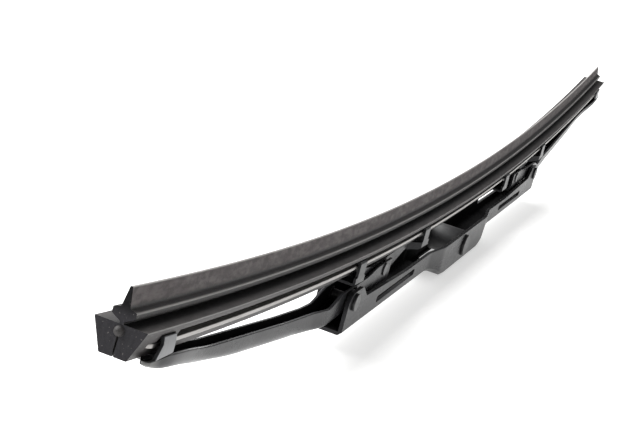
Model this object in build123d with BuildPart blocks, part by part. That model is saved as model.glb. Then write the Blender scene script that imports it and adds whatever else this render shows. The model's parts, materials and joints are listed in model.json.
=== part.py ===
from build123d import *
from math import asin, cos, degrees, radians, sin, sqrt, tan
import os

os.makedirs("parts", exist_ok=True)

# A framed wiper blade, lying lip up. X runs along the blade, from the locked
# end (-X) to the free end (+X), Y across it and Z up. A drop is measured down
# from the rubber's neck, a height up from it, all in millimetres.

# Rubber element
BLADE_LENGTH = 600.0
CAMBER_RISE = 20.0
LIP_HEIGHT = 7.8
LIP_TIP = 0.62
LIP_ROOT = 1.5
LIP_ROOT_HEIGHT = 4.3
LIP_FLARE = 0.8
SHOULDER_WIDTH = 5.3
SHOULDER_TOP = 3.0
SHOULDER_CROWN = 0.25
SHOULDER_BOTTOM = 1.65
NECK_WIDTH = 0.9
NECK_HEIGHT = 0.5
BLOCK_WIDTH = 12.0
BLOCK_BASE = 6.2
BLOCK_DEPTH = 6.85
GROOVE_DROP = 2.0
GROOVE_WEB = 5.2
LOCK_LUG = 4.0
LOCK_GAP = 0.5
NUB_RADIUS = 1.2
NUB_TIP_RADIUS = 0.7
NUB_HEIGHT = 0.9
NUB_DROP = 1.45
SLIT_WIDTH = 0.4
SLIT_DEPTH = 3.0

# Spring steel rails, one in each side slot of the rubber
RAIL_WIDTH = 3.2
RAIL_THICKNESS = 1.0
RAIL_DROP = 3.9
RAIL_INNER = 1.65
RAIL_END_GAP = 4.0
RAIL_CLEARANCE = 0.05

# Claws that reach round the rails
CLAW_LENGTH = 6.4
CLAW_SHEET = 0.8
CLAW_SIDE_GAP = 0.2
CLAW_RAIL_GAP = 0.9
CLAW_TIP = 3.2
CLAW_BEND = 0.5
CLAW_NOSE = 1.6
CLAW_ROOT_GAP = 0.2

# Secondary yokes, each with an outer claw, a main pivot and an inner pivot.
# An inset is measured from the end of the rubber or of the bridge, a reach
# from the outer claw or from the main pivot.
OUTER_CLAW_INSET = 11.0
OUTER_WEB_DROP = 10.4
MAIN_PIVOT_INSET = 6.0
MAIN_PIVOT_DROP = 11.6
YOKE_SHEET = 0.9
YOKE_ARM_WIDTH = 5.0
YOKE_PIVOT_WIDTH = 6.6
YOKE_NOSE = 4.6
YOKE_NOSE_DROP = 8.2
YOKE_NOSE_CORNER = 4.5
YOKE_CHIN_RADIUS = 20.0
YOKE_BOW_REACH = 57.0
YOKE_BOW_DROP = 6.2
YOKE_BOW_RADIUS = 500.0
YOKE_KNEE_REACH = 20.0
YOKE_KNEE_DROP = 16.2
YOKE_KNEE_RADIUS = 60.0
YOKE_TAIL = 7.0
YOKE_TAIL_DROP = 14.8
YOKE_RIM_DROP = 8.0
YOKE_RIM_END = 8.0
YOKE_DIP_REACH = 18.0
YOKE_DIP_DROP = 10.6
YOKE_SAG_REACH = 84.0
YOKE_SAG_DROP = 6.0
YOKE_SAG_RADIUS = 400.0
YOKE_WAIST_REACH = 44.0
YOKE_WAIST_DROP = -0.4
YOKE_WAIST_RADIUS = 200.0
YOKE_HEAD = 9.0
YOKE_HEAD_DROP = 6.8
YOKE_FLARE = 26.0
YOKE_BEND = 0.7

# Tertiary yokes, each with a claw on either side of the inner pivot
INNER_PIVOT_REACH = 35.5
INNER_PIVOT_DROP = 9.2
INNER_CLAW_REACH = 38.5
INNER_WEB_DROP = 9.6
TERTIARY_SHEET = 0.8
TERTIARY_WIDTH = 3.8
TERTIARY_DROP = 12.4
TERTIARY_RIM_DROP = 6.4
TERTIARY_BACK = 12.0
TERTIARY_FLARE = 5.0
TERTIARY_BEND = 0.6

# Primary bridge
BRIDGE_HALF = 146.0
BRIDGE_SHEET = 1.2
BRIDGE_SIDE_GAP = 0.8
BRIDGE_END_DROP = 21.4
BRIDGE_EAR_DROP = 8.2
BRIDGE_EAR = 13.0
BRIDGE_EAR_RAMP = 6.0
BRIDGE_RIM_DROP = 12.5
BRIDGE_LOW_X = 80.0
BRIDGE_LOW_DROP = 14.5
BRIDGE_BACK_DROP = 21.8
HUB_HALF = 34.0
HUB_FLARE = 14.0
HUB_SIDE_GAP = 1.2
HUB_BASE_DROP = 27.0
HUB_BASE_HALF = 28.0
HUB_RAMP = 16.0
VENT_START = 68.0
VENT_END = 113.0
VENT_HEIGHT = 2.2
VENT_DROP = 17.2
WINDOW_START = -19.0
WINDOW_END = 25.0
WINDOW_MARGIN = 0.4
WINDOW_CORNER = 2.7
BRIDGE_BEND = 1.2

# Rounding of the stampings in side view and in plan
RIM_CORNER = 4.0
RIM_SWEEP = 12.0
BACK_SWEEP = 60.0
HUB_SWEEP = 12.0
PLAN_SWEEP = 25.0

# Rivets, bushes and the hub pin
MAIN_RIVET_RADIUS = 1.9
MAIN_HEAD_RADIUS = 2.8
MAIN_HEAD_HEIGHT = 0.9
INNER_RIVET_RADIUS = 1.4
INNER_HEAD_RADIUS = 2.2
INNER_HEAD_HEIGHT = 0.45
HUB_PIN_RADIUS = 2.5
HUB_PIN_DROP = 20.0
HUB_HEAD_RADIUS = 4.2
HUB_HEAD_HEIGHT = 1.0
HELD_FIT = 0.02
RUNNING_FIT = 0.06
FACE_FIT = 0.05
BUSH_WALL = 0.6
MAIN_FLANGE_RADIUS = 3.6

# Hook adapter that swings on the hub pin
ADAPTER_WIDTH = 10.0
ADAPTER_WALL = 1.6
ADAPTER_BOSS_RADIUS = 5.5
ADAPTER_BOSS_GAP = 0.3
ADAPTER_END_X = 23.5
ADAPTER_TOP_DROP = 21.5
ADAPTER_CORNER = 1.2
TAIL_DROP = 26.6
TAIL_FLAT_START = 8.0
TAIL_FLAT_END = 19.0
TAIL_TIP_DROP = 24.6
TAIL_SWEEP = 10.0

# Places that follow from the sizes above
HALF = BLADE_LENGTH / 2
CAMBER_RADIUS = (HALF**2 + CAMBER_RISE**2) / (2 * CAMBER_RISE)
NECK_Z = HUB_BASE_DROP
CAMBER_Z = NECK_Z + CAMBER_RADIUS
CAMBER_AXIS = Axis((0, 0, CAMBER_Z), (0, -1, 0))
OUTER_CLAW_X = HALF - OUTER_CLAW_INSET
MAIN_PIVOT_X = BRIDGE_HALF - MAIN_PIVOT_INSET
INNER_PIVOT_X = MAIN_PIVOT_X - INNER_PIVOT_REACH
RAIL_OUTER = RAIL_INNER + RAIL_WIDTH
CLAW_INNER = RAIL_OUTER + CLAW_SIDE_GAP
CLAW_OUTER = CLAW_INNER + CLAW_SHEET
HOOK_DROP = RAIL_DROP - CLAW_RAIL_GAP
CLAW_ROOT_DROP = BLOCK_DEPTH + CLAW_ROOT_GAP
CLAW_HALF = CLAW_LENGTH / 2
CLAW_END = CLAW_HALF + CLAW_NOSE
CLAW_BACK = CLAW_HALF + CLAW_SHEET
NOTCH_HALF = CLAW_HALF + LOCK_GAP
YOKE_HALF = YOKE_PIVOT_WIDTH / 2
TERTIARY_HALF = TERTIARY_WIDTH / 2
BRIDGE_ARM_HALF = YOKE_HALF + BRIDGE_SIDE_GAP + BRIDGE_SHEET
HUB_ROOM = ADAPTER_WIDTH / 2 + HUB_SIDE_GAP
HUB_WALL_HALF = HUB_ROOM + BRIDGE_SHEET
REACH = BLADE_LENGTH
SIDE_SHARE = 0.45
FACING_DOWN = -0.8
RUNNING_ALONG = 0.6
ENDS = {"near": -1, "far": 1}
SIDES = {"left": 1, "right": -1}


def rise(x):
    """Height of the neck line at x above its height at mid-length."""
    return CAMBER_RADIUS - sqrt(CAMBER_RADIUS**2 - x**2)


def level(drop):
    """Z at a drop below the neck's height at mid-length."""
    return NECK_Z - drop


def under(x, drop):
    """Z at a drop below the neck line at x."""
    return level(drop) + rise(x)


def turn(x):
    """Angle along the camber arc from mid-length to x, in degrees."""
    return degrees(asin(x / CAMBER_RADIUS))


def station(x):
    """Plane square to the camber arc at x: its own x is Y, its own y points up."""
    lean = radians(turn(x))
    neck = (x, 0, CAMBER_Z - CAMBER_RADIUS * cos(lean))
    return Plane(neck, x_dir=(0, 1, 0), z_dir=(cos(lean), 0, sin(lean)))


def outline(corners, plane):
    """Closed face through corners of (u, v, radius), each radius limited by its two sides."""
    points = [Vector(u, v) for u, v, radius in corners]
    radii = []
    for i, (u, v, radius) in enumerate(corners):
        before = points[i] - points[i - 1]
        after = points[(i + 1) % len(points)] - points[i]
        half_turn = radians(before.get_angle(after)) / 2
        limit = SIDE_SHARE * min(before.length, after.length) / tan(half_turn)
        radii.append(min(radius, limit))
    with BuildSketch(plane) as shape:
        with BuildLine():
            FilletPolyline(*points, radius=radii, close=True)
        make_face()
    return shape.sketch


def both_sides(corners):
    """Corners of one half, then the same half mirrored in u, as one closed loop."""
    return corners + [(-u, v, radius) for u, v, radius in reversed(corners)]


def mirrored(corners, end):
    """The same corners on the near or the far half of the blade."""
    return [(end * x, v, radius) for x, v, radius in corners]


def plan(widths):
    """Plan outline of a channel from corners of (x, half-width, radius)."""
    return outline(widths + [(x, -half, radius) for x, half, radius in reversed(widths)], Plane.XY)


def flank(drop):
    """Half-width of the rubber's block at a drop."""
    return (BLOCK_WIDTH + (BLOCK_BASE - BLOCK_WIDTH) * drop / BLOCK_DEPTH) / 2


def strip(section, x_from, x_to, mode=Mode.ADD):
    """Carry a section that stands at x_from along the camber arc to x_to."""
    revolve(section, axis=CAMBER_AXIS, revolution_arc=turn(x_to) - turn(x_from), mode=mode)


def rubber_section(x):
    """Lip, shoulder, thin neck and tapered block, in the section at x."""
    half = [
        (LIP_TIP / 2, LIP_HEIGHT, 0),
        (LIP_ROOT / 2, LIP_ROOT_HEIGHT, 0),
        (LIP_ROOT / 2 + LIP_FLARE, SHOULDER_TOP + SHOULDER_CROWN, 0),
        (SHOULDER_WIDTH / 2, SHOULDER_TOP, 0),
        (SHOULDER_WIDTH / 2, SHOULDER_BOTTOM, 0),
        (NECK_WIDTH / 2, NECK_HEIGHT, 0),
        (NECK_WIDTH / 2, 0, 0),
        (BLOCK_WIDTH / 2, 0, 0),
        (BLOCK_BASE / 2, -BLOCK_DEPTH, 0),
    ]
    return outline(both_sides(half), station(x))


def side_section(x, side, inner, outer, top, bottom):
    """Rectangle on one side of the section at x, from an inner to an outer half-width."""
    corners = [(inner, -top), (outer, -top), (outer, -bottom), (inner, -bottom)]
    return outline([(side * u, v, 0) for u, v in corners], station(x))


def claw_section(x, side, foot_drop):
    """One claw: a strip up the outside of the rail, hooked in over it."""
    hook_back = HOOK_DROP - CLAW_SHEET
    corners = [
        (CLAW_OUTER, -foot_drop),
        (CLAW_OUTER, -hook_back - CLAW_BEND),
        (CLAW_OUTER - CLAW_BEND, -hook_back),
        (CLAW_TIP, -hook_back),
        (CLAW_TIP, -HOOK_DROP),
        (CLAW_INNER, -HOOK_DROP),
        (CLAW_INNER, -foot_drop),
    ]
    return outline([(side * u, v, 0) for u, v in corners], station(x))


def add_claws(x, foot_drop):
    """Add a pair of claws at x to the current part."""
    for side in SIDES.values():
        extrude(claw_section(x, side, foot_drop), amount=CLAW_HALF, both=True)


def run_out(corner, following, reach, sheet):
    """Point on the line from following through corner, reach past it in x, a sheet higher."""
    slope = (corner[1] - following[1]) / (corner[0] - following[0])
    return (corner[0] + reach, corner[1] + sheet + slope * reach, 0)


def channel(back, rim, widths, sheet, bend, closed_ends):
    """Folded channel, open upwards. back and rim are the lower and upper corners of its
    side view, widths those of half its plan, all from the same end to the other."""
    ahead = REACH if back[-1][0] > back[0][0] else -REACH
    floor = [(x, z + sheet, radius) for x, z, radius in back[1:-1]]
    first = run_out(back[0], back[1], -ahead, sheet)
    last = run_out(back[-1], back[-2], ahead, sheet)
    sky = max(first[1], last[1]) + REACH
    inside = [first, *floor, last, (last[0], sky, 0), (first[0], sky, 0)]
    room = [(x, half - sheet, radius) for x, half, radius in widths]
    for i, way, closed in ((0, -1, closed_ends[0]), (-1, 1, closed_ends[1])):
        x, half, radius = room[i]
        step = sheet if closed else -REACH
        room[i] = (x - way * step * ahead / REACH, half, radius - sheet if closed else 0)
    with BuildPart() as hollow:
        extrude(outline(inside, Plane.XZ), amount=REACH, both=True)
        extrude(plan(room), amount=2 * REACH, both=True, mode=Mode.INTERSECT)
    with BuildPart() as body:
        extrude(outline(back + list(reversed(rim)), Plane.XZ), amount=REACH, both=True)
        extrude(plan(widths), amount=2 * REACH, both=True, mode=Mode.INTERSECT)
        underside = body.faces().filter_by(lambda face: face.normal_at().Z < FACING_DOWN)
        folds = underside.edges().filter_by(lambda edge: abs(edge.tangent_at(0.5).Y) < RUNNING_ALONG)
        chamfer(folds, bend)
        add(hollow.part, mode=Mode.SUBTRACT)
    return body.part


def cross_hole(x, drop, radius):
    """Cut a round hole across the blade through everything in the current part."""
    with BuildSketch(Plane.XZ) as hole:
        with Locations((x, level(drop))):
            Circle(radius)
    extrude(hole.sketch, amount=REACH, both=True, mode=Mode.SUBTRACT)


def turned(x, drop, profile):
    """Turned piece about a cross axis, from a profile of (radius, y)."""
    centre = (x, 0, level(drop))
    with BuildPart() as piece:
        revolve(outline([(u, v, 0) for u, v in profile], Plane(centre)), axis=Axis(centre, (0, 1, 0)))
    return piece.part


def rivet_profile(radius, grip, head_radius, head_height):
    """Half section of a rivet whose two low pan heads clamp a grip."""
    crown = grip / 2 + head_height
    half = [
        (radius, grip / 2),
        (head_radius, grip / 2),
        (head_radius, crown),
        (0, crown),
    ]
    return half + [(u, -v) for u, v in reversed(half)]


def bush_profile(side, bore, inner_face, sleeve, flange, flange_radius):
    """Half section of a flanged bush that stands in a sheet's hole."""
    seat = inner_face + sleeve
    corners = [
        (bore, inner_face),
        (bore + BUSH_WALL, inner_face),
        (bore + BUSH_WALL, seat),
        (flange_radius, seat),
        (flange_radius, seat + flange),
        (bore, seat + flange),
    ]
    return [(u, side * v) for u, v in corners]


def tube_profile(bore, length):
    """Half section of a plain bush that spans both sheets of a channel."""
    outer = bore + BUSH_WALL
    return [(bore, -length / 2), (outer, -length / 2), (outer, length / 2), (bore, length / 2)]


def keep(part, name):
    """Label a piece and write it to its own file."""
    part.label = name
    export_step(part, f"parts/{name}.step")


# Rubber: one extruded section, grooved for the claws, locked at the near end
rail_end = HALF - RAIL_END_GAP
slot_inner = RAIL_INNER - RAIL_CLEARANCE
slot_top = RAIL_DROP - RAIL_CLEARANCE
slot_bottom = RAIL_DROP + RAIL_THICKNESS + RAIL_CLEARANCE
notch_start = -OUTER_CLAW_X - NOTCH_HALF
lug_start = -OUTER_CLAW_X + NOTCH_HALF
slit_height = BLOCK_DEPTH - NUB_DROP
with BuildPart() as wiper_rubber:
    strip(rubber_section(-HALF), -HALF, HALF)
    for side in SIDES.values():
        slot = side_section(-rail_end, side, slot_inner, BLOCK_WIDTH, slot_top, slot_bottom)
        strip(slot, -rail_end, HALF, Mode.SUBTRACT)
        groove = side_section(notch_start, side, GROOVE_WEB / 2, BLOCK_WIDTH, GROOVE_DROP, slot_top)
        strip(groove, notch_start, HALF, Mode.SUBTRACT)
        lug = side_section(lug_start, side, GROOVE_WEB / 2, flank(slot_top), GROOVE_DROP, slot_top)
        strip(lug, lug_start, lug_start + LOCK_LUG)
    end_face = station(-HALF)
    with BuildSketch(end_face) as slit:
        with Locations((0, -NUB_DROP - slit_height / 2)):
            Rectangle(SLIT_WIDTH, slit_height)
    extrude(slit.sketch, amount=SLIT_DEPTH, mode=Mode.SUBTRACT)
    nub_foot = Plane(end_face.from_local_coords((0, -NUB_DROP, 0)), z_dir=-end_face.z_dir)
    with Locations(nub_foot):
        Cone(NUB_RADIUS, NUB_TIP_RADIUS, NUB_HEIGHT, align=(Align.CENTER, Align.CENTER, Align.MIN))
keep(wiper_rubber.part, "wiper_rubber")

# Rails: flat spring steel strips that follow the camber
for hand, side in SIDES.items():
    with BuildPart() as rail:
        bar = side_section(-rail_end, side, RAIL_INNER, RAIL_OUTER, RAIL_DROP, RAIL_DROP + RAIL_THICKNESS)
        strip(bar, -rail_end, rail_end)
    keep(rail.part, f"rail_{hand}")

# Secondary yokes: from the outer claw's nose, past the main pivot, to the inner pivot
nose_x = OUTER_CLAW_X + CLAW_HALF + YOKE_NOSE
shoulder_x = OUTER_CLAW_X - CLAW_BACK
head_x = INNER_PIVOT_X + YOKE_HEAD
tail_x = INNER_PIVOT_X - YOKE_TAIL
rim_end_x = MAIN_PIVOT_X + YOKE_RIM_END
dip_x = MAIN_PIVOT_X + YOKE_DIP_REACH
yoke_back = [
    (nose_x, under(nose_x, YOKE_NOSE_DROP), 0),
    (OUTER_CLAW_X, under(OUTER_CLAW_X, OUTER_WEB_DROP), YOKE_CHIN_RADIUS),
    (OUTER_CLAW_X - YOKE_BOW_REACH, level(YOKE_BOW_DROP), YOKE_BOW_RADIUS),
    (MAIN_PIVOT_X + YOKE_KNEE_REACH, level(YOKE_KNEE_DROP), YOKE_KNEE_RADIUS),
    (tail_x, level(YOKE_TAIL_DROP), 0),
]
yoke_rim = [
    (nose_x, under(nose_x, CLAW_ROOT_DROP), 0),
    (shoulder_x, under(shoulder_x, CLAW_ROOT_DROP), RIM_CORNER),
    (OUTER_CLAW_X - YOKE_WAIST_REACH, level(YOKE_WAIST_DROP), YOKE_WAIST_RADIUS),
    (OUTER_CLAW_X - YOKE_SAG_REACH, level(YOKE_SAG_DROP), YOKE_SAG_RADIUS),
    (dip_x, level(YOKE_DIP_DROP), RIM_SWEEP),
    (rim_end_x, level(YOKE_RIM_DROP), RIM_SWEEP),
    (head_x + YOKE_HEAD, level(YOKE_RIM_DROP), RIM_SWEEP),
    (head_x, level(YOKE_HEAD_DROP), RIM_SWEEP),
    (tail_x, level(YOKE_HEAD_DROP), RIM_CORNER),
]
yoke_widths = [
    (nose_x, CLAW_OUTER, YOKE_NOSE_CORNER),
    (shoulder_x, CLAW_OUTER, PLAN_SWEEP),
    (shoulder_x - YOKE_FLARE, YOKE_ARM_WIDTH / 2, PLAN_SWEEP),
    (dip_x + YOKE_FLARE / 2, YOKE_ARM_WIDTH / 2, PLAN_SWEEP),
    (dip_x, YOKE_HALF, PLAN_SWEEP),
    (tail_x, YOKE_HALF, 0),
]
for name, end in ENDS.items():
    with BuildPart() as yoke:
        add(channel(mirrored(yoke_back, end), mirrored(yoke_rim, end), mirrored(yoke_widths, end),
                    YOKE_SHEET, YOKE_BEND, closed_ends=(True, False)))
        add_claws(end * OUTER_CLAW_X, OUTER_WEB_DROP - YOKE_SHEET)
        cross_hole(end * MAIN_PIVOT_X, MAIN_PIVOT_DROP,
                   MAIN_RIVET_RADIUS + RUNNING_FIT + BUSH_WALL + HELD_FIT)
        cross_hole(end * INNER_PIVOT_X, INNER_PIVOT_DROP, INNER_RIVET_RADIUS + HELD_FIT)
    keep(yoke.part, f"{name}_yoke")

# Tertiary yokes: a claw at each nose, the inner pivot half-way between them
tertiary_back, tertiary_rim, tertiary_widths = [], [], []
for way in (1, -1):
    claw_x = INNER_PIVOT_X + way * INNER_CLAW_REACH
    nose, back, neck = (claw_x + way * reach for reach in (CLAW_END, -CLAW_BACK, -CLAW_BACK - TERTIARY_FLARE))
    middle = INNER_PIVOT_X + way * TERTIARY_BACK
    half_back = [
        (nose, under(nose, INNER_WEB_DROP), 0),
        (neck, under(neck, INNER_WEB_DROP), BACK_SWEEP),
        (middle, level(TERTIARY_DROP), BACK_SWEEP),
    ]
    half_rim = [
        (nose, under(nose, CLAW_ROOT_DROP), 0),
        (back, under(back, CLAW_ROOT_DROP), 0),
        (middle, level(TERTIARY_RIM_DROP), 0),
    ]
    half_widths = [
        (nose, CLAW_OUTER, 0),
        (back, CLAW_OUTER, 0),
        (neck, TERTIARY_HALF, 0),
    ]
    tertiary_back += half_back[::way]
    tertiary_rim += half_rim[::way]
    tertiary_widths += half_widths[::way]
for name, end in ENDS.items():
    with BuildPart() as tertiary:
        add(channel(mirrored(tertiary_back, end), mirrored(tertiary_rim, end), mirrored(tertiary_widths, end),
                    TERTIARY_SHEET, TERTIARY_BEND, closed_ends=(False, False)))
        for way in (1, -1):
            add_claws(end * (INNER_PIVOT_X + way * INNER_CLAW_REACH), INNER_WEB_DROP - TERTIARY_SHEET)
        cross_hole(end * INNER_PIVOT_X, INNER_PIVOT_DROP,
                   INNER_RIVET_RADIUS + RUNNING_FIT + BUSH_WALL + HELD_FIT)
    keep(tertiary.part, f"{name}_tertiary")

# Primary bridge: vented arms and a deep hub with a window for the arm's hook
ear_x = BRIDGE_HALF - BRIDGE_EAR
bridge_back = [
    (BRIDGE_HALF, level(BRIDGE_END_DROP), 0),
    (HUB_BASE_HALF + HUB_RAMP, level(BRIDGE_BACK_DROP), BACK_SWEEP),
    (HUB_BASE_HALF, level(HUB_BASE_DROP), HUB_SWEEP),
]
bridge_rim = [
    (BRIDGE_HALF, level(BRIDGE_EAR_DROP), RIM_CORNER),
    (ear_x, level(BRIDGE_EAR_DROP), RIM_CORNER),
    (ear_x - BRIDGE_EAR_RAMP, level(BRIDGE_RIM_DROP), RIM_CORNER),
    (BRIDGE_LOW_X, level(BRIDGE_LOW_DROP), RIM_SWEEP),
]
bridge_widths = [
    (BRIDGE_HALF, BRIDGE_ARM_HALF, 0),
    (HUB_HALF + HUB_FLARE, BRIDGE_ARM_HALF, PLAN_SWEEP),
    (HUB_HALF, HUB_WALL_HALF, PLAN_SWEEP),
]
window_width = ADAPTER_WIDTH + 2 * WINDOW_MARGIN
with BuildPart() as primary_bridge:
    add(channel(both_sides(bridge_back), both_sides(bridge_rim), both_sides(bridge_widths),
                BRIDGE_SHEET, BRIDGE_BEND, closed_ends=(False, False)))
    with BuildSketch(Plane.XZ) as vents:
        for end in ENDS.values():
            with Locations((end * (VENT_START + VENT_END) / 2, level(VENT_DROP))):
                SlotOverall(VENT_END - VENT_START, VENT_HEIGHT)
    extrude(vents.sketch, amount=REACH, both=True, mode=Mode.SUBTRACT)
    with BuildSketch(Plane.XY.offset(level(HUB_BASE_DROP))) as window:
        with Locations(((WINDOW_START + WINDOW_END) / 2, 0)):
            RectangleRounded(WINDOW_END - WINDOW_START, window_width, WINDOW_CORNER)
    extrude(window.sketch, amount=ADAPTER_WALL + BRIDGE_SHEET, both=True, mode=Mode.SUBTRACT)
    for end in ENDS.values():
        cross_hole(end * MAIN_PIVOT_X, MAIN_PIVOT_DROP, MAIN_RIVET_RADIUS + HELD_FIT)
    cross_hole(0, HUB_PIN_DROP, HUB_PIN_RADIUS + HELD_FIT)
keep(primary_bridge.part, "primary_bridge")

# Rivets and bushes at the four pivots, and the hub pin
main_rivet = rivet_profile(MAIN_RIVET_RADIUS, 2 * BRIDGE_ARM_HALF, MAIN_HEAD_RADIUS, MAIN_HEAD_HEIGHT)
inner_rivet = rivet_profile(INNER_RIVET_RADIUS, YOKE_PIVOT_WIDTH, INNER_HEAD_RADIUS, INNER_HEAD_HEIGHT)
hub_pin = rivet_profile(HUB_PIN_RADIUS, 2 * HUB_WALL_HALF, HUB_HEAD_RADIUS, HUB_HEAD_HEIGHT)
yoke_room = 2 * (YOKE_HALF - YOKE_SHEET)
inner_bush = tube_profile(INNER_RIVET_RADIUS + RUNNING_FIT, yoke_room - 2 * FACE_FIT)
keep(turned(0, HUB_PIN_DROP, hub_pin), "hub_pin")
for name, end in ENDS.items():
    keep(turned(end * MAIN_PIVOT_X, MAIN_PIVOT_DROP, main_rivet), f"{name}_main_rivet")
    keep(turned(end * INNER_PIVOT_X, INNER_PIVOT_DROP, inner_rivet), f"{name}_inner_rivet")
    keep(turned(end * INNER_PIVOT_X, INNER_PIVOT_DROP, inner_bush), f"{name}_inner_bush")
    for hand, side in SIDES.items():
        main_bush = bush_profile(side, MAIN_RIVET_RADIUS + RUNNING_FIT, yoke_room / 2,
                                 YOKE_SHEET + FACE_FIT, BRIDGE_SIDE_GAP - 2 * FACE_FIT, MAIN_FLANGE_RADIUS)
        keep(turned(end * MAIN_PIVOT_X, MAIN_PIVOT_DROP, main_bush), f"{name}_main_bush_{hand}")

# Hook adapter: a boss on the pin and a troughed tail that the arm's hook lies on
pin_z = level(HUB_PIN_DROP)
tail_arm = [
    (-ADAPTER_BOSS_RADIUS, pin_z, 0),
    (0, pin_z - ADAPTER_BOSS_RADIUS, 0),
    (TAIL_FLAT_START, level(TAIL_DROP), TAIL_SWEEP),
    (TAIL_FLAT_END, level(TAIL_DROP), TAIL_SWEEP),
    (ADAPTER_END_X, level(TAIL_TIP_DROP), ADAPTER_CORNER),
    (ADAPTER_END_X, level(ADAPTER_TOP_DROP), ADAPTER_CORNER),
    (ADAPTER_BOSS_RADIUS, level(ADAPTER_TOP_DROP), ADAPTER_CORNER),
    (0, pin_z, 0),
]
trough_end = ADAPTER_END_X - ADAPTER_WALL
trough_start = ADAPTER_BOSS_RADIUS + ADAPTER_WALL
trough = [
    (trough_start, level(TAIL_DROP) + ADAPTER_WALL, 0),
    (TAIL_FLAT_END, level(TAIL_DROP) + ADAPTER_WALL, TAIL_SWEEP),
    (trough_end, level(TAIL_TIP_DROP) + ADAPTER_WALL, ADAPTER_CORNER),
    (trough_end, pin_z, 0),
    (trough_start, pin_z, 0),
]
with BuildPart() as hook_adapter:
    extrude(outline(tail_arm, Plane.XZ), amount=ADAPTER_WIDTH / 2, both=True)
    with BuildSketch(Plane.XZ) as boss:
        with Locations((0, pin_z)):
            Circle(ADAPTER_BOSS_RADIUS)
    extrude(boss.sketch, amount=HUB_ROOM - ADAPTER_BOSS_GAP, both=True)
    extrude(outline(trough, Plane.XZ), amount=ADAPTER_WIDTH / 2 - ADAPTER_WALL, both=True, mode=Mode.SUBTRACT)
    cross_hole(0, HUB_PIN_DROP, HUB_PIN_RADIUS + RUNNING_FIT)
keep(hook_adapter.part, "hook_adapter")
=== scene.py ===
import json
from math import radians

import bmesh
import bpy
import numpy as np
from mathutils import Matrix, Vector

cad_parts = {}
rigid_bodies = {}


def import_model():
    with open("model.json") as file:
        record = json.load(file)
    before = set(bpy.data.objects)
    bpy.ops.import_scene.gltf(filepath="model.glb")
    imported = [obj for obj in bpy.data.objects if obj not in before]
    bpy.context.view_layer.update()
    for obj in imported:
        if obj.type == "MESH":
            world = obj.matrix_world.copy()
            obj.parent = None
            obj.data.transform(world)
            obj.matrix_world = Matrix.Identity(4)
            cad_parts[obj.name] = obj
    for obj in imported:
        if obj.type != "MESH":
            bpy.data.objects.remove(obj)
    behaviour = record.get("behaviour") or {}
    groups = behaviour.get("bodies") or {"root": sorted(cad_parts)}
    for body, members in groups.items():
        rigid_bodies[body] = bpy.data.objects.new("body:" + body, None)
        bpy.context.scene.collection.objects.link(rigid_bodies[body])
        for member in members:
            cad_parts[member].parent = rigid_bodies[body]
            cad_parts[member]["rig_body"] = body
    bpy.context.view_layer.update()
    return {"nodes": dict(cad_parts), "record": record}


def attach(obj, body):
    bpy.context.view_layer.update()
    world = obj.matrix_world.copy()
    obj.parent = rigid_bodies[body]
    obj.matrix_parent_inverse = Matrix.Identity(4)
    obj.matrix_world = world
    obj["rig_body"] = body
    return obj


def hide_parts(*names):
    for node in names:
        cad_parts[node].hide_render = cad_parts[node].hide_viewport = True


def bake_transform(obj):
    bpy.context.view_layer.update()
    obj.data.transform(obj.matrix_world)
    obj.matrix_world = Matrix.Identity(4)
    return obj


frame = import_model()

mm = 0.001

# The rubber's neck line is an arc in the XZ plane. Distances are in millimetres.
camber = {"half": 300.0, "rise": 20.0, "neckZ": 27.0}
camber["radius"] = (camber["half"] ** 2 + camber["rise"] ** 2) / (2 * camber["rise"])
camber["centreZ"] = camber["neckZ"] + camber["radius"]


class Wire:  # a socket that can stand in Python sums
    def __init__(self, finish, socket):
        self.finish = finish
        self.socket = socket

    def sum(self, operation, first, second):
        return self.finish.add("ShaderNodeMath", {"operation": operation}, {0: first, 1: second})

    def __add__(self, other):
        return self.sum("ADD", self, other)

    def __radd__(self, other):
        return self.sum("ADD", other, self)

    def __sub__(self, other):
        return self.sum("SUBTRACT", self, other)

    def __rsub__(self, other):
        return self.sum("SUBTRACT", other, self)

    def __mul__(self, other):
        return self.sum("MULTIPLY", self, other)

    def __rmul__(self, other):
        return self.sum("MULTIPLY", other, self)

    def size(self):
        return self.finish.add("ShaderNodeMath", {"operation": "ABSOLUTE"}, {0: self})


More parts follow.
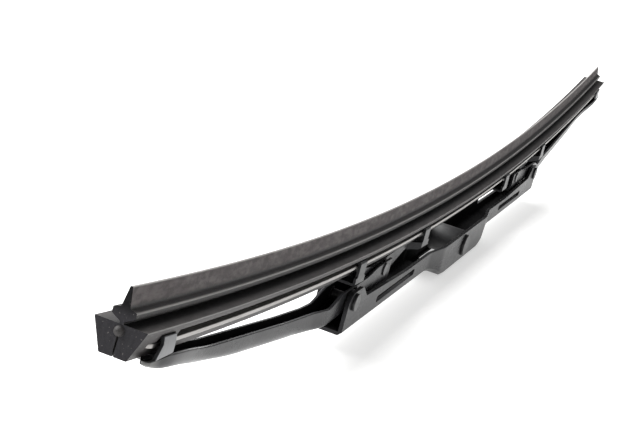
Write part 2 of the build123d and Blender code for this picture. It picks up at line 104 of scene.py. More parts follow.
class Finish:  # one material, with the nodes that its finish needs
    def __init__(self, name, mark=None):
        self.mark = mark  # the piece's own attribute that its patterns follow, if it has one
        self.material = bpy.data.materials.new(name)
        self.material.use_nodes = True
        self.tree = self.material.node_tree
        self.shader = self.tree.nodes["Principled BSDF"]

    def add(self, kind, settings, inputs, output=0):
        node = self.tree.nodes.new(kind)
        for key, value in settings.items():
            setattr(node, key, value)
        for key, value in inputs.items():
            self.feed(node.inputs[key], value)
        return Wire(self, node.outputs[output])

    def feed(self, socket, value):
        if isinstance(value, Wire):
            self.tree.links.new(value.socket, socket)
        else:
            socket.default_value = value

    def coat(self, **values):
        for key, value in values.items():
            self.feed(self.shader.inputs[key.replace("_", " ")], value)

    def place(self):
        if self.mark:
            return self.add("ShaderNodeAttribute", {"attribute_name": self.mark}, {}, "Vector")
        return self.add("ShaderNodeTexCoord", {}, {}, "Object")

    def axis(self, name):
        return self.add("ShaderNodeSeparateXYZ", {}, {0: self.place()}, name)

    def grain(self, stretch, detail=3.0):  # noise, with its own scale along each axis
        spread = self.add("ShaderNodeMapping", {}, {"Vector": self.place(), "Scale": stretch})
        return self.add("ShaderNodeTexNoise", {}, {"Vector": spread, "Scale": 1.0, "Detail": detail})

    def ease(self, value, low, high):  # 0 below low, 1 above high, smooth between
        return self.add("ShaderNodeMapRange", {"interpolation_type": "SMOOTHSTEP"},
                        {"Value": value, "From Min": low, "From Max": high})

    def tint(self, factor, lower, upper):  # from one colour to another, each a link or three numbers
        lower, upper = (c if isinstance(c, Wire) else (*c, 1.0) for c in (lower, upper))
        return self.add("ShaderNodeMix", {"data_type": "RGBA"}, {0: factor, 6: lower, 7: upper}, 2)

    def relief(self, height, depth):
        bump = self.add("ShaderNodeBump", {}, {"Height": height, "Distance": depth, "Strength": 1.0})
        self.coat(Normal=bump)


def rubberFinish():
    # Of these colours, crease is the colour of painted shade and edge the colour of painted highlights
    look = {"dark": (0.021, 0.0192, 0.0190), "light": (0.046, 0.042, 0.0415),
            "lipDark": (0.058, 0.049, 0.049), "lipLight": (0.114, 0.099, 0.098),
            "crease": (0.007, 0.0066, 0.0066), "bloom": (0.058, 0.046, 0.047),
            "edge": (0.30, 0.29, 0.28), "chalk": (0.15, 0.14, 0.135), "gloss": 0.28, "relief": 0.00007}
    # Where a band starts and ends, in millimetres up the section or out from its middle plane
    band = {"lip": (3.5, 4.6), "creaseFoot": (2.95, 3.1), "creaseTop": (3.3, 4.4),
            "hollowFoot": (-0.7, -0.1), "hollowTop": (1.7, 2.6), "hollowSide": (2.8, 5.6),
            "shoulderSide": (2.2, 2.6), "shoulderTop": (2.55, 2.75),
            "blockSide": (5.7, 5.92), "blockTop": (-0.5, -0.15), "lipEdge": (7.5, 7.72)}
    # The noise values between which a pattern comes up
    rise = {"mottle": (0.35, 0.68), "patch": (0.36, 0.66), "bloom": (0.46, 0.66), "speck": (0.62, 0.74)}
    amount = {"bloom": 0.6, "crease": 0.4, "hollow": 0.9, "blockEdge": 0.6, "lipEdge": 1.2, "chalk": 0.3}
    rubber = Finish("powderedRubber", "bladePlace")  # along, across and up the section, in millimetres
    across, height = rubber.axis("Y").size(), rubber.axis("Z")
    mottle = rubber.grain((0.12, 0.42, 0.42))
    patch = rubber.grain((0.30, 0.75, 0.75), 6.0)
    bloom = rubber.grain((0.05, 0.35, 0.35))
    speck = rubber.grain((1.5, 1.8, 1.8), 2.0)
    streak = rubber.grain((0.03, 1.6, 1.6), 2.0)
    # Streak noise that breaks up the painted highlights along the rubber's edges
    worn = 0.35 + streak * 0.6

    def up(name):
        return rubber.ease(height, *band[name])

    def out(name):
        return rubber.ease(across, *band[name])

    lip = rubber.tint(rubber.ease(patch, *rise["patch"]), look["lipDark"], look["lipLight"])
    lip = rubber.tint(rubber.ease(bloom, *rise["bloom"]) * amount["bloom"], lip, look["bloom"])
    colour = rubber.tint(rubber.ease(mottle, *rise["mottle"]), look["dark"], look["light"])
    colour = rubber.tint(up("lip"), colour, lip)
    # Painted shade: the crease colour darkens the crease where the lip meets the shoulder
    crease = up("creaseFoot") * (1 - up("creaseTop"))  # where the lip meets the shoulder
    colour = rubber.tint(crease * amount["crease"], colour, look["crease"])
    # Painted shade in the hollow under the shoulder and over the block's top, darkest near the neck
    hollow = up("hollowFoot") * (1 - up("hollowTop")) * (1 - out("hollowSide"))  # between shoulder and block
    colour = rubber.tint(hollow * amount["hollow"], colour, look["crease"])
    # Painted highlights: lighter lines along the shoulder's top edge, the block's top edge and the lip's top
    # edge, as if they caught the light
    colour = rubber.tint(out("shoulderSide") * up("shoulderTop") * worn, colour, look["edge"])
    colour = rubber.tint(out("blockSide") * up("blockTop") * worn * amount["blockEdge"], colour, look["edge"])
    colour = rubber.tint(up("lipEdge") * worn * amount["lipEdge"], colour, look["edge"])
    colour = rubber.tint(rubber.ease(speck, *rise["speck"]) * amount["chalk"], colour, look["chalk"])
    rubber.coat(Base_Color=colour, Roughness=0.42 + mottle * 0.22 + up("lip") * 0.12,
                Specular_IOR_Level=look["gloss"])
    rubber.relief(speck * 0.6 + streak * 0.4, look["relief"])
    return rubber.material


def cutRubberFinish():
    look = {"block": (0.020, 0.0192, 0.0215), "fresh": (0.030, 0.029, 0.032), "lip": (0.005, 0.005, 0.0055),
            "chalk": (0.16, 0.15, 0.145), "lipFrom": (1.2, 4.2), "chalkRise": (0.68, 0.76), "chalkAmount": 0.5,
            "gloss": 0.1, "relief": 0.00025}
    face = Finish("cutRubber", "bladePlace")
    tear = face.grain((0.5, 0.9, 0.9), 5.0)
    speck = face.grain((1.7, 1.7, 1.7), 1.0)
    colour = face.tint(tear, look["block"], look["fresh"])
    # Painted shade: the lip's part of the end face is darker, as if in shadow
    colour = face.tint(face.ease(face.axis("Z"), *look["lipFrom"]), colour, look["lip"])  # darker up the lip
    colour = face.tint(face.ease(speck, *look["chalkRise"]) * look["chalkAmount"], colour, look["chalk"])
    face.coat(Base_Color=colour, Roughness=0.55 + tear * 0.2, Specular_IOR_Level=look["gloss"])
    face.relief(tear, look["relief"])
    return face.material


def springSteelFinish():
    look = {"dark": (0.27, 0.26, 0.25), "light": (0.40, 0.39, 0.375), "grime": (0.012, 0.011, 0.011),
            "grimeFrom": (0.2850, 0.2865), "grimeTo": (0.2924, 0.2936), "metal": 0.92, "relief": 0.00001}
    steel = Finish("rolledSpringSteel")
    along = steel.axis("X").size()
    # Painted shade on the rails under the outer claws, where the claws shadow them
    grime = steel.ease(along, *look["grimeFrom"]) * (1 - steel.ease(along, *look["grimeTo"]))
    drawn = steel.grain((25.0, 2600.0, 2600.0))
    cloud = steel.grain((90.0, 90.0, 90.0))
    colour = steel.tint(grime, steel.tint(cloud, look["dark"], look["light"]), look["grime"])
    steel.coat(Base_Color=colour, Metallic=look["metal"], Roughness=0.34 + drawn * 0.24)
    steel.relief(drawn, look["relief"])
    return steel.material


def blackPaintFinish():
    look = {"paint": (0.010, 0.010, 0.011), "worn": (0.028, 0.028, 0.030), "dust": (0.10, 0.10, 0.098),
            "bare": (0.15, 0.15, 0.146), "bareFrom": (0.2885, 0.2945), "bareAmount": 0.75,
            "dullFrom": (0.255, 0.285), "dustRise": (0.70, 0.80), "dustAmount": 0.4,
            "gloss": 0.11, "relief": 0.00002}
    paint = Finish("glossBlackPaint")
    along = paint.axis("X").size()
    bare = paint.ease(along, *look["bareFrom"]) * look["bareAmount"]  # paint rubbed off the yokes' noses
    dull = paint.ease(along, *look["dullFrom"])
    peel = paint.grain((900.0, 900.0, 900.0), 1.0)
    cloud = paint.grain((60.0, 120.0, 120.0))
    fleck = paint.grain((2600.0, 2600.0, 2600.0), 1.0)
    colour = paint.tint(cloud, look["paint"], look["worn"])
    colour = paint.tint(paint.ease(fleck, *look["dustRise"]) * look["dustAmount"], colour, look["dust"])
    colour = paint.tint(bare, colour, look["bare"])
    paint.coat(Base_Color=colour, Metallic=bare, Roughness=0.20 + cloud * 0.16 + dull * 0.14,
               Specular_IOR_Level=look["gloss"])
    paint.relief(peel, look["relief"])
    return paint.material


def insideFinish():
    # Inside the channels: rougher, less glossy paint, and a darker colour that is painted shade
    look = {"paint": (0.004, 0.004, 0.0045), "dust": (0.012, 0.012, 0.012), "gloss": 0.03}
    inside = Finish("dullChannelPaint")
    cloud = inside.grain((200.0, 300.0, 300.0))
    inside.coat(Base_Color=inside.tint(cloud, look["paint"], look["dust"]), Roughness=0.7 + cloud * 0.2,
                Specular_IOR_Level=look["gloss"])
    return inside.material


def clawFinish():
    look = {"bare": (0.175, 0.177, 0.184), "rubbed": (0.10, 0.102, 0.107), "dark": (0.065, 0.066, 0.07),
            "top": (0.0385, 0.0430), "topAmount": 0.8, "metal": 0.85, "relief": 0.00001}
    claw = Finish("rubbedClawSteel")
    # Painted shade: darker towards the hook, where the claw's upper facet turns from the light
    top = claw.ease(claw.axis("Z"), *look["top"]) * look["topAmount"]  # darker towards the hook
    cloud = claw.grain((160.0, 160.0, 160.0))
    drawn = claw.grain((1800.0, 1800.0, 90.0), 2.0)
    colour = claw.tint(top, claw.tint(cloud, look["rubbed"], look["bare"]), look["dark"])
    claw.coat(Base_Color=colour, Metallic=look["metal"], Roughness=0.24 + drawn * 0.18)
    claw.relief(drawn, look["relief"])
    return claw.material


def rivetFinish():
    look = {"paint": (0.016, 0.016, 0.017), "bare": (0.10, 0.10, 0.10), "rubbed": (0.55, 0.78),
            "relief": 0.00002}
    rivet = Finish("blackedRivetSteel")
    rub = rivet.grain((700.0, 700.0, 700.0))
    rubbed = rivet.ease(rub, *look["rubbed"])
    rivet.coat(Base_Color=rivet.tint(rubbed, look["paint"], look["bare"]), Metallic=rubbed * 0.6,
               Roughness=0.28 + rub * 0.2)
    rivet.relief(rub, look["relief"])
    return rivet.material


def mouldedFinish(name, dark, light, sheen):
    skinDepth = 0.00003
    plastic = Finish(name)
    flow = plastic.grain((140.0, 260.0, 260.0))
    spark = plastic.grain((2200.0, 2200.0, 2200.0), 2.0)
    plastic.coat(Base_Color=plastic.tint(flow, dark, light), Roughness=sheen + flow * 0.2)
    plastic.relief(spark, skinDepth)
    return plastic.material


finishes = {
    "rubber": rubberFinish(),
    "cut_rubber": cutRubberFinish(),
    "spring_steel": springSteelFinish(),
    "black_paint": blackPaintFinish(),
    "channel_inside": insideFinish(),
    "rubbed_claw": clawFinish(),
    "rivet_steel": rivetFinish(),
    "bush_plastic": mouldedFinish("mattBushPlastic", (0.030, 0.030, 0.031), (0.052, 0.052, 0.053), 0.42),
    "adapter_plastic": mouldedFinish("mouldedAdapterPlastic", (0.018, 0.018, 0.019),
                                     (0.034, 0.034, 0.035), 0.36),
}
print("finishes made:", len(finishes))


def neckRise(x):
    # Height of the camber arc over its lowest point: R - sqrt(R^2 - x^2)
    return camber["radius"] - np.sqrt(camber["radius"] ** 2 - x**2)


def alongBlade(x, u, v):
    # Point (x, u, v) of the blade: the angle t = asin(x / R) on the camber arc, then u across
    # and v towards the arc's centre: X = (R - v) sin t, Y = u, Z = centre - (R - v) cos t
    t = np.arcsin(x / camber["radius"])
    reach = camber["radius"] - v
    return mm * np.stack([reach * np.sin(t), u + 0 * t, camber["centreZ"] - reach * np.cos(t)], axis=-1)


def finishMesh(name, points, faces, material, sharpFrom):
    # The faces on these points, turned outward and smooth, but for edges sharper than sharpFrom degrees
    mesh = bpy.data.meshes.new(name)
    mesh.from_pydata(points.reshape(-1, 3).tolist(), [], faces)
    shell = bmesh.new()
    shell.from_mesh(mesh)
    bmesh.ops.recalc_face_normals(shell, faces=shell.faces)
    shell.to_mesh(mesh)
    shell.free()
    mesh.shade_smooth()
    mesh.set_sharp_from_angle(angle=radians(sharpFrom))
    mesh.materials.append(material)
    piece = bpy.data.objects.new(name, mesh)
    bpy.context.scene.collection.objects.link(piece)
    return piece


def easeEdges(piece, width, steps, angle):
    # Edges that turn by more than the angle become curves as wide as the width, in millimetres
    rounding = piece.modifiers.new("easedEdges", "BEVEL")
    rounding.width = width * mm
    rounding.segments = steps
    rounding.limit_method = "ANGLE"
    rounding.angle_limit = radians(angle)


def markPlace(piece, along, across, height):
    # The blade's own coordinates of each vertex, which stay with it when the rubber bends
    marks = np.stack(np.broadcast_arrays(along, across, height), axis=-1)
    mark = piece.data.attributes.new("bladePlace", "FLOAT_VECTOR", "POINT")
    mark.data.foreach_set("vector", marks.astype(np.float32).ravel())


def closedStrip(rows, columns):
    # Quads of a grid of rings, row by row, with the two end rings closed by a face each
    ring = np.arange(columns)
    after = (ring + 1) % columns
    start = np.arange(rows - 1)[:, None] * columns
    quads = [start + ring, start + after, start + columns + after, start + columns + ring]
    ends = [list(range(columns - 1, -1, -1)), list(range((rows - 1) * columns, rows * columns))]
    return np.stack(quads, axis=-1).reshape(-1, 4).tolist() + ends


def roundCorner(corner, before, after, radius, steps):
    # Quadratic curve from corner + radius * before to corner + radius * after, bent at the corner
    t = np.linspace(0, 1, steps)[:, None]
    corner, before, after = (np.array(p, float) for p in (corner, before, after))
    return corner + radius * (before * (1 - t) ** 2 + after * t**2)


# Rubber: half of its section, from the lip's top to the block's base, in u across and v up.
rubberShape = {
    "lipTip": 0.31, "lipTop": 7.8, "lipRound": 0.10, "lipRoot": 0.92, "lipRootHeight": 4.1, "flareOut": 1.7,
    "shoulderCrown": 3.25, "shoulderHalf": 2.65, "shoulderTop": 3.0, "shoulderBase": 1.65, "edgeRound": 0.16,
    "underSlope": (0.9, 0.43), "neckHalf": 0.45, "neckTop": 0.5, "neckRound": 0.2, "neckFoot": 0.15,
    "blockHalf": 6.0, "baseHalf": 3.1, "blockDepth": 6.85, "grooveDrop": 1.75, "grooveMid": 2.4,
    "grooveEnd": 3.44, "grooveHalf": 2.6, "slotDrop": 3.45, "slotMids": (3.8, 4.2), "slotBase": 4.55,
    "slotHalf": 1.5, "slitHalf": 0.2, "slitTop": 1.45, "flareSteps": 9, "cornerSteps": 4, "footSteps": 3,
    "rowSpacing": 4.0, "cutStep": 0.05, "sharp": 32,
}


def flankPoint(drop):
    # Point of the block's flank, a straight line in from blockHalf at the top to baseHalf at the base
    s = rubberShape
    return [s["blockHalf"] + (s["baseHalf"] - s["blockHalf"]) * drop / s["blockDepth"], -drop]


def rubberHalf(grooved, slotted, slit):
    # Half sections, one for each row: the plain outline moved to the cut one where a row's
    # groove, slot or slit is 1, as plain + (cut - plain) * switch
    s = rubberShape
    r, steps = s["edgeRound"], s["cornerSteps"]
    up, down, out, back = (0, 1), (0, -1), (1, 0), (-1, 0)
    slope = np.array([s["baseHalf"] - s["blockHalf"], -s["blockDepth"]])
    slope = slope / np.linalg.norm(slope)
    under = np.array(s["underSlope"])  # the shoulder's underside, out from the neck
    t = np.linspace(0, 1, s["flareSteps"])[:, None]
    lipRoot = np.array([s["lipRoot"], s["shoulderCrown"]])
    flare = roundCorner(lipRoot, up, (0, 0), s["lipRootHeight"] - s["shoulderCrown"], s["flareSteps"])
    flare = flare + np.array([s["flareOut"] - s["lipRoot"], 0]) * t**2
    head = np.vstack([
        [[0, s["lipTop"]]],
        roundCorner((s["lipTip"], s["lipTop"]), back, down, s["lipRound"], steps),
        flare,
        roundCorner((s["shoulderHalf"], s["shoulderTop"]), back, down, r, steps),
        roundCorner((s["shoulderHalf"], s["shoulderBase"]), up, -under, r, steps),
        roundCorner((s["neckHalf"], s["neckTop"]), under, down, s["neckRound"], steps),
        roundCorner((s["neckHalf"], 0), up, out, s["neckFoot"], s["footSteps"]),
        roundCorner((s["blockHalf"], 0), back, slope, r, steps),
        [flankPoint(s["grooveDrop"])],
    ])
    groovePlain = np.array([flankPoint(s["grooveMid"]), flankPoint(s["grooveEnd"])])
    grooveCut = np.array([[s["grooveHalf"], -s["grooveDrop"]], [s["grooveHalf"], -s["slotDrop"]]])
    slotPlain = np.array([flankPoint(drop) for drop in s["slotMids"]])
    slotCut = np.array([[s["slotHalf"], -s["slotDrop"]], [s["slotHalf"], -s["slotBase"]]])
    foot = np.vstack([
        [flankPoint(s["slotBase"])],
        roundCorner((s["baseHalf"], -s["blockDepth"]), -slope, back, r, steps),
        [[s["slitHalf"], -s["blockDepth"]]],
    ])
    slitPlain = np.array([[s["slitHalf"] / 2, -s["blockDepth"]], [0, -s["blockDepth"]]])
    slitCut = np.array([[s["slitHalf"], -s["slitTop"]], [0, -s["slitTop"]]])
    parts = [np.broadcast_to(head, (len(grooved), *head.shape))]
    for plain, cut, switch in ((groovePlain, grooveCut, grooved), (slotPlain, slotCut, slotted)):
        parts.append(plain + (cut - plain) * switch[:, None, None])
    parts.append(np.broadcast_to(foot, (len(grooved), *foot.shape)))
    parts.append(slitPlain + (slitCut - slitPlain) * slit[:, None, None])
    return np.concatenate(parts, axis=1)


def rubberStretch(name, xFrom, xTo, marks):
    # Section rings along the camber arc; each of the marks is (x, groove, slot, slit), and its
    # switches hold from its x on
    s = rubberShape
    evenly = np.linspace(xFrom, xTo, int(abs(xTo - xFrom) / s["rowSpacing"]) + 2)
    turns = [x + step for x, *_ in marks if xFrom < x < xTo for step in (-s["cutStep"], 0)]
    rows = np.unique(np.concatenate([evenly, turns]))
    held = np.searchsorted([m[0] for m in marks], rows, side="right") - 1
    switches = np.array([m[1:] for m in marks], float)[np.clip(held, 0, None)]
    half = rubberHalf(*switches.T)
    ring = np.concatenate([half, half[:, -2:0:-1] * [-1, 1]], axis=1)
    points = alongBlade(rows[:, None], ring[..., 0], ring[..., 1])
    piece = finishMesh(name, points, closedStrip(len(rows), ring.shape[1]), finishes["rubber"], s["sharp"])
    markPlace(piece, rows[:, None], ring[..., 0], ring[..., 1])
    piece.data.materials.append(finishes["cut_rubber"])
    for endFace in piece.data.polygons[-2:]:
        endFace.material_index = 1
    return piece


def railStretch(name, side, xFrom, xTo):
    # Flat strip with eased edges, carried along the camber arc; at the blade's ends its outer corner
    # is rounded in plan: u is less by c - sqrt(c^2 - (c - d)^2) at the distance d from the end
    bar = {"inner": 1.55, "outer": 4.75, "top": -3.5, "base": -4.5, "ease": 0.14, "easeSteps": 4,
           "corner": 2.6, "cornerRows": 9, "rowSpacing": 5.0, "sharp": 40}
    up, down, out, back = (0, 1), (0, -1), (1, 0), (-1, 0)
    corners = [((bar["outer"], bar["top"]), back, down), ((bar["outer"], bar["base"]), up, back),
               ((bar["inner"], bar["base"]), out, up), ((bar["inner"], bar["top"]), down, out)]
    ring = np.vstack([roundCorner(*corner, bar["ease"], bar["easeSteps"]) for corner in corners])
    rows = np.linspace(xFrom, xTo, int((xTo - xFrom) / bar["rowSpacing"]) + 2)
    turn = np.linspace(0, np.pi / 2, bar["cornerRows"])
    tip = lock["railEnd"] - bar["corner"] * (1 - np.cos(turn))
    tips = np.concatenate([-tip, tip])
    rows = np.unique(np.concatenate([rows, tips[(tips > xFrom) & (tips < xTo)]]))
    short = np.clip(bar["corner"] - (lock["railEnd"] - np.abs(rows)), 0, bar["corner"])
    short = bar["corner"] - np.sqrt(bar["corner"] ** 2 - short**2)
    outerHalf = ring[:, 0] > (bar["inner"] + bar["outer"]) / 2
    u = np.where(outerHalf, ring[:, 0] - short[:, None], ring[:, 0])
    points = alongBlade(rows[:, None], side * u, ring[:, 1])
    return finishMesh(name, points, closedStrip(len(rows), len(ring)), finishes["spring_steel"], bar["sharp"])


# In the blade the rubber and rails bend between the bodies whose claws hold them. Here each stretch crosses one
# joint: its ends, the bodies that hold it, and where the bend from the first to the second starts and ends.
# Only the ends are used here: the pieces are not tied to those bodies and do not bend.
stretches = {
    "NearOuter": (-300.0, -104.5, "near_arm", "near_rocker", -225.0, -150.0),
    "NearInner": (-104.5, -52.0, "near_rocker", "near_arm", -63.0, -52.0),
    "NearMiddle": (-52.0, 0.0, "near_arm", "primary_frame", -52.0, -2.0),
    "FarMiddle": (0.0, 52.0, "primary_frame", "far_arm", 2.0, 52.0),
    "FarInner": (52.0, 104.5, "far_arm", "far_rocker", 52.0, 63.0),
    "FarOuter": (104.5, 300.0, "far_rocker", "far_arm", 150.0, 225.0),
}
lock = {"claw": 286.9, "notchHalf": 3.7, "lug": 2.6, "slit": 3.0, "railEnd": 294.8}
lugStart = lock["notchHalf"] - lock["claw"]
cuts = [(-camber["half"], 0, 0, 1), (lock["slit"] - camber["half"], 0, 0, 0), (-lock["railEnd"], 0, 1, 0),
        (-lock["claw"] - lock["notchHalf"], 1, 1, 0), (lugStart, 0, 1, 0), (lugStart + lock["lug"], 1, 1, 0)]
for place, (xFrom, xTo, first, second, start, end) in stretches.items():
    pieces = {f"rubber{place}": ("wiper_rubber", "rubber", rubberStretch(f"rubber{place}", xFrom, xTo, cuts))}
    for hand, side in (("Left", 1), ("Right", -1)):
        name = f"rail{hand}{place}"
        strip = railStretch(name, side, max(xFrom, -lock["railEnd"]), min(xTo, lock["railEnd"]))
        pieces[name] = (f"rail_{hand.lower()}", "spring_steel", strip)
    for node, finish, piece in pieces.values():
        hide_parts(node)
        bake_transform(piece)
print("rubber and rails made in", len(stretches), "stretches")


def rubberNub():
    # Half ball on the near end face: centre + r (cos a, sin a cos b, sin a sin b), a from tip to face
    nub = {"radius": 1.2, "drop": 1.45, "sink": 0.15, "tipAngle": 0.06, "rings": 9, "spokes": 28, "sharp": 50}
    a = np.linspace(nub["tipAngle"], np.pi / 2, nub["rings"])[:, None]
    b = np.linspace(0, 2 * np.pi, nub["spokes"], endpoint=False)
    u = nub["radius"] * np.sin(a) * np.cos(b)
    v = nub["radius"] * np.sin(a) * np.sin(b) - nub["drop"]
    x = -camber["half"] + nub["sink"] - nub["radius"] * np.cos(a) + 0 * b
    faces = closedStrip(nub["rings"], nub["spokes"])
    piece = finishMesh("rubberNub", alongBlade(x, u, v), faces, finishes["rubber"], nub["sharp"])
    markPlace(piece, x, u, v)
    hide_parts("wiper_rubber")
    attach(piece, "near_arm")


rubberNub()
print("nub made")


def easedPiece(node, finish, width, steps):
    # A copy of the solid with its loose triangles joined, its flat faces merged and its edges rounded
    easing = {"join": 0.002, "flat": 0.6, "sharp": 28, "wallTurn": 0.6, "floorTurn": 0.7, "floorHalf": 3.0}
    solid = frame["nodes"][node]
    mesh = solid.data.copy()
    shell = bmesh.new()
    shell.from_mesh(mesh)
    bmesh.ops.remove_doubles(shell, verts=shell.verts, dist=easing["join"] * mm)
    bmesh.ops.dissolve_limit(shell, angle_limit=radians(easing["flat"]), verts=shell.verts, edges=shell.edges)
    shell.to_mesh(mesh)
    shell.free()
    mesh.shade_smooth()
    mesh.set_sharp_from_angle(angle=radians(easing["sharp"]))
    mesh.materials.clear()
    mesh.materials.append(finishes[finish])
    if finish == "black_paint":
        mesh.materials.append(finishes["channel_inside"])
        centre, normal = np.empty((2, 3 * len(mesh.polygons)), np.float32)
        mesh.polygons.foreach_get("center", centre)
        mesh.polygons.foreach_get("normal", normal)
        y, across, up = centre[1::3], normal[1::3], normal[2::3]
        # These inside faces get the inside finish, whose darker colour is painted shade
        # Walls that face the middle plane, and floors between them
        inside = (np.abs(across) > easing["wallTurn"]) & (y * across < 0)
        inside |= (up > easing["floorTurn"]) & (np.abs(y) < easing["floorHalf"] * mm)
        mesh.polygons.foreach_set("material_index", inside.astype(np.int32))
    words = node.split("_")
    piece = bpy.data.objects.new(words[0] + "".join(w.title() for w in words[1:]) + "Eased", mesh)
    bpy.context.scene.collection.objects.link(piece)
    easeEdges(piece, width, steps, easing["sharp"])
    flats = piece.modifiers.new("flatFaces", "WEIGHTED_NORMAL")
    flats.keep_sharp = False
    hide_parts(node)
    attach(piece, solid["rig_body"])


# Secondary yokes: lines of the side view and the plan as (x, value, radius), from the nose to the tail.
noseX, trayX, tailX = 295.9, 285.0, 97.5
yokeShape = {
    "back": [(noseX, neckRise(noseX) - 7.8, 0), (293.2, neckRise(293.2) - 8.85, 8),
             (286.5, neckRise(286.5) - 10.5, 30), (259.3, 0.4, 200), (232.6, -5.2, 300), (193.0, -11.4, 400),
             (160.0, -16.2, 60), (tailX, -14.8, 0)],
    "rim": [(noseX, neckRise(noseX) - 6.95, 0), (trayX, neckRise(trayX) - 6.75, 8), (253.5, 3.3, 120),
            (193.6, -5.75, 400), (158.0, -10.4, 12), (148.0, -8.0, 12), (122.5, -8.0, 12),
            (113.5, -6.8, 12), (tailX, -6.8, 0)],
    "plan": [(noseX, 5.85, 0), (284.0, 5.85, 60), (259.0, 2.5, 150), (171.0, 2.5, 60), (158.0, 3.3, 60),
             (tailX, 3.3, 0)],
    "squareness": [(noseX, 4.5, 0), (trayX, 3.6, 0), (270.0, 3.0, 0), (185.0, 3.0, 0), (152.0, 7.0, 0),
                   (tailX, 7.0, 0)],
    "sheet": 0.9, "thinnest": 0.02, "rimEase": 0.16, "noseCorner": 1.4, "wallFrom": 0.9, "wallRun": 0.9,
    "notch": 5.0, "notchFloor": 1.8, "notchMouth": 4.2, "notchFrom": 3.0, "notchTo": 16.0,
    "noseRun": 3.0, "noseRows": 18, "bodyFrom": 3.4, "bodyRows": 160, "columns": 45, "sharp": 34,
    "holes": [(140.0, 15.4, 2.58), (104.5, 17.8, 1.42)],  # x, height and radius
}


def roundedLine(corners, x):
    # Straight runs between corners, each corner swapped for a quadratic curve of about its radius
    curve = {"steps": 9, "share": 0.45}  # the share of the shorter run that a curve may take
    dots = np.array(corners, float)
    line = [dots[:1, :2]]
    for before, corner, after in zip(dots[:-2], dots[1:-1], dots[2:]):
        back, ahead = before[:2] - corner[:2], after[:2] - corner[:2]
        spans = np.linalg.norm(back), np.linalg.norm(ahead)
        back, ahead = back / spans[0], ahead / spans[1]
        halfTurn = (np.pi - np.arccos(np.clip(back @ ahead, -1, 1))) / 2
        reach = min(corner[2] * np.tan(halfTurn), curve["share"] * min(spans))
        line.append(roundCorner(corner[:2], back, ahead, reach, curve["steps"]))
    line = np.vstack(line + [dots[-1:, :2]])[::-1]
    return np.interp(x, line[:, 0], line[:, 1])


def drilled(piece, holes, end):
    # Holes across the blade, cut by a ring swept from one side to the other
    bore = {"reach": 9.0, "sides": 48, "sharp": 40}
    aside = np.array([0, bore["reach"], 0])
    for x, z, radius in holes:
        turn = np.linspace(0, 2 * np.pi, bore["sides"], endpoint=False)
        rim = np.stack([end * x + radius * np.cos(turn), 0 * turn, z + radius * np.sin(turn)], axis=-1)
        drill = finishMesh("drill", mm * np.stack([rim - aside, rim + aside]), closedStrip(2, bore["sides"]),
                           finishes["black_paint"], bore["sharp"])
        cut = piece.modifiers.new("hole", "BOOLEAN")
        cut.object = drill
        cut.operation = "DIFFERENCE"
        cut.solver = "EXACT"
        bpy.context.view_layer.update()
        whole = piece.evaluated_get(bpy.context.evaluated_depsgraph_get())
        piece.data = bpy.data.meshes.new_from_object(whole)
        piece.modifiers.clear()
        bpy.data.objects.remove(drill)
    piece.data.set_sharp_from_angle(angle=radians(yokeShape["sharp"]))


def easedStep(t):
    # S-curve 3 t^2 - 2 t^3, with t held between 0 and 1
    t = np.clip(t, 0, 1)
    return t**2 * (3 - 2 * t)


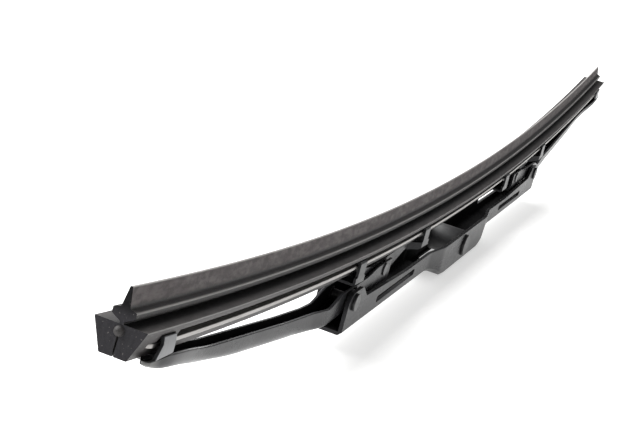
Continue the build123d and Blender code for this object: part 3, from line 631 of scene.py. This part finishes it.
def yokeChannel(place, end):
    # Channel of pressed sheet: at each x a trough y = w cos(p)^(2/n), z = rim - depth sin(p)^(2/n) with
    # p from 0 to pi, the same trough a sheet further in, and two eased rims between them. The nose
    # closes in a corner curve and is notched between its two lobes: x is less by n s(y) s(x), each s
    # an S-curve from 1 to 0
    y = yokeShape
    turn = np.linspace(0, np.pi / 2, y["noseRows"])
    body = np.linspace(y["bodyFrom"], noseX - tailX, y["bodyRows"])
    inward = np.concatenate([y["noseRun"] * (1 - np.cos(turn)), body])
    x = noseX - inward
    corner = y["noseCorner"] ** 2 - np.clip(y["noseCorner"] - inward, 0, None) ** 2
    corner = y["noseCorner"] - np.sqrt(corner)
    rim = roundedLine(y["rim"], x)[:, None]
    base = roundedLine(y["back"], x)[:, None]
    half = (roundedLine(y["plan"], x) - corner)[:, None]
    power = 2 / roundedLine(y["squareness"], x)[:, None]
    p = np.linspace(0, np.pi, y["columns"])
    across = np.sign(np.cos(p)) * np.abs(np.cos(p)) ** power
    down = np.abs(np.sin(p)) ** power
    opened = easedStep((inward - y["wallFrom"]) / y["wallRun"])[:, None]
    ease, sheet = y["rimEase"], y["sheet"]
    lip = rim - ease
    outer = np.stack([half * across, lip - (lip - base) * down], axis=-1)
    deep = np.maximum(lip - base - sheet, y["thinnest"]) * opened
    inner = np.stack([(half - sheet) * across, lip - deep * down], axis=-1)[:, ::-1]
    crest = [half - ease, half - sheet + ease]
    left = np.stack([np.stack([-c, rim], axis=-1)[:, 0] for c in crest], axis=1)
    right = np.stack([np.stack([c, rim], axis=-1)[:, 0] for c in reversed(crest)], axis=1)
    ring = np.concatenate([outer, left, inner, right], axis=1)
    notch = y["notch"] * easedStep((y["notchTo"] - inward) / (y["notchTo"] - y["notchFrom"]))[:, None]
    notch = notch * easedStep((y["notchMouth"] - np.abs(ring[..., 0])) / (y["notchMouth"] - y["notchFloor"]))
    points = [end * (x[:, None] - notch), ring[..., 0], camber["neckZ"] + ring[..., 1]]
    faces = closedStrip(len(x), ring.shape[1])
    last, wide = ring.shape[1] - 1, y["columns"]
    # The notched nose is closed by quads from the outer trough to the inner one: none spans the notch
    nose = [[i, i + 1, last - 3 - i, last - 2 - i] for i in range(wide - 1)]
    nose += [list(range(wide - 1, wide + 3)), [last - 2, last - 1, last, 0]]
    faces = faces[:-2] + faces[-1:] + nose
    piece = finishMesh(f"{place}YokeChannel", mm * np.stack(points, axis=-1), faces,
                       finishes["black_paint"], y["sharp"])
    # The inside of the channel gets the inside finish, whose darker colour is painted shade
    piece.data.materials.append(finishes["channel_inside"])
    column = np.tile(np.arange(ring.shape[1]), len(x) - 1)
    inside = np.append((column > wide) & (column < last - 1), np.zeros(len(nose) + 1))
    piece.data.polygons.foreach_set("material_index", inside.astype(np.int32))
    drilled(piece, y["holes"], end)
    return piece


def yokeClaw(place, hand, end, side):
    # Strip bent over the rail: its section in u and v carried along the blade. It leans in to a knee,
    # then spreads to its foot: x moves by lean(v), mixed from the inner edge's lean and the nose edge's
    # by the share q across the strip
    claw = {"half": 3.2, "outer": 5.85, "inner": 5.05, "tip": 3.2, "hookTop": -1.85, "hookBase": -2.65,
            "knee": -3.8, "foot": -7.0, "kneeLean": -0.7, "noseLean": 1.4, "innerLean": -0.85, "innerRise": 0.7,
            "bend": 0.3, "bendSteps": 7, "crease": 0.15, "creaseSteps": 4, "rows": 6, "sharp": 20,
            "edge": 0.12, "edgeSteps": 2, "edgeAngle": 40}
    down, back = (0, -1), (-1, 0)
    skin = np.vstack([
        [[claw["outer"], claw["foot"]], [claw["outer"], claw["knee"]]],
        roundCorner((claw["outer"], claw["hookTop"]), down, back, claw["bend"], claw["bendSteps"]),
        [[claw["tip"], claw["hookTop"]], [claw["tip"], claw["hookBase"]]],
        roundCorner((claw["inner"], claw["hookBase"]), back, down, claw["crease"], claw["creaseSteps"]),
        [[claw["inner"], claw["knee"]], [claw["inner"], claw["foot"]]],
    ])
    levels = [claw["foot"], claw["knee"], claw["hookBase"]]
    q = np.linspace(0, 1, claw["rows"])[:, None]
    lean = (1 - q) * np.interp(skin[:, 1], levels, [claw["innerLean"], claw["kneeLean"], 0])
    lean = lean + q * np.interp(skin[:, 1], levels, [claw["noseLean"], claw["kneeLean"], 0])
    rise = (1 - q) * np.interp(skin[:, 1], levels, [claw["innerRise"], 0, 0])
    x = lock["claw"] + claw["half"] * (2 * q - 1) + lean
    points = alongBlade(end * x, side * skin[:, 0], skin[:, 1] + rise)
    piece = finishMesh(f"{place}YokeClaw{hand}", points, closedStrip(len(q), len(skin)),
                       finishes["rubbed_claw"], claw["sharp"])
    easeEdges(piece, claw["edge"], claw["edgeSteps"], claw["edgeAngle"])
    return piece


for place, end in (("near", -1), ("far", 1)):
    pressings = [yokeChannel(place, end)]
    pressings += [yokeClaw(place, hand, end, side) for hand, side in (("Left", 1), ("Right", -1))]
    for piece in pressings:
        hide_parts(f"{place}_yoke")
        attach(piece, f"{place}_arm")
print("secondary yokes pressed")

# Width in millimetres and steps of the rounding on the edges of each finish's solids
easedEdges = {"black_paint": (0.22, 3), "rivet_steel": (0.19, 3), "bush_plastic": (0.08, 2),
              "adapter_plastic": (0.25, 3)}
for subpart in frame["record"]["subparts"]:
    node, finish = subpart["node"], subpart["material_slot"]
    if finish in easedEdges and not node.endswith("_yoke"):
        easedPiece(node, finish, *easedEdges[finish])
print("bridge, small yokes, rivets, bushes and adapter eased")


def floorPlane():
    # A square at the height 0, wide enough to fill every view
    ground = {"half": 6.0, "colour": (0.74, 0.74, 0.735), "roughness": 0.6,
              "glow": (1.0, 1.0, 0.995), "glowStrength": 0.52, "sharp": 30}
    h = ground["half"]
    corners = np.array([[-h, -h, 0], [h, -h, 0], [h, h, 0], [-h, h, 0]])
    pale = Finish("paleFloor")
    pale.coat(Base_Color=(*ground["colour"], 1.0), Roughness=ground["roughness"],
              Emission_Color=(*ground["glow"], 1.0), Emission_Strength=ground["glowStrength"])
    floor = finishMesh("floor", corners, [[0, 1, 2, 3]], pale.material, ground["sharp"])


def studioLight():
    light = {"sky": (1.0, 1.0, 1.0), "skyStrength": 0.36, "boxSize": 2.6, "boxPower": 135.0,
             "boxPlace": (0.05, 1.30, 1.20), "boxAim": (0.1, 0.0, 0.03)}
    world = bpy.data.worlds.new("studio")
    bpy.context.scene.world = world
    bpy.context.scene.view_settings.view_transform = "Standard"
    world.use_nodes = True
    sky = world.node_tree.nodes["Background"]
    sky.inputs["Color"].default_value = (*light["sky"], 1.0)
    sky.inputs["Strength"].default_value = light["skyStrength"]
    lamp = bpy.data.lights.new("softbox", "AREA")
    lamp.size = light["boxSize"]
    lamp.energy = light["boxPower"]
    box = bpy.data.objects.new("softbox", lamp)
    aim = Vector(light["boxAim"]) - Vector(light["boxPlace"])
    box.rotation_euler = aim.to_track_quat("-Z", "Y").to_euler()
    box.location = light["boxPlace"]
    bpy.context.scene.collection.objects.link(box)


def photoCamera():
    view = {"place": (-0.5526, -0.1054, 0.1492), "ahead": (0.92981, 0.26348, -0.25695),
            "right": (0.32651, -0.91273, 0.24560), "lens": 83.2, "sensor": 36.0, "nearest": 0.01}
    ahead, right = Vector(view["ahead"]).normalized(), Vector(view["right"]).normalized()
    up = right.cross(ahead)
    turn = Matrix((right, up, -ahead)).transposed().to_4x4()
    camera = bpy.data.cameras.new("photoView")
    camera.lens = view["lens"]
    camera.sensor_width = view["sensor"]
    camera.clip_start = view["nearest"]
    eye = bpy.data.objects.new("photoView", camera)
    eye.matrix_world = Matrix.Translation(view["place"]) @ turn
    bpy.context.scene.collection.objects.link(eye)
    bpy.context.scene.camera = eye


floorPlane()
studioLight()
photoCamera()
print("floor, light and camera set")

bpy.context.view_layer.update()
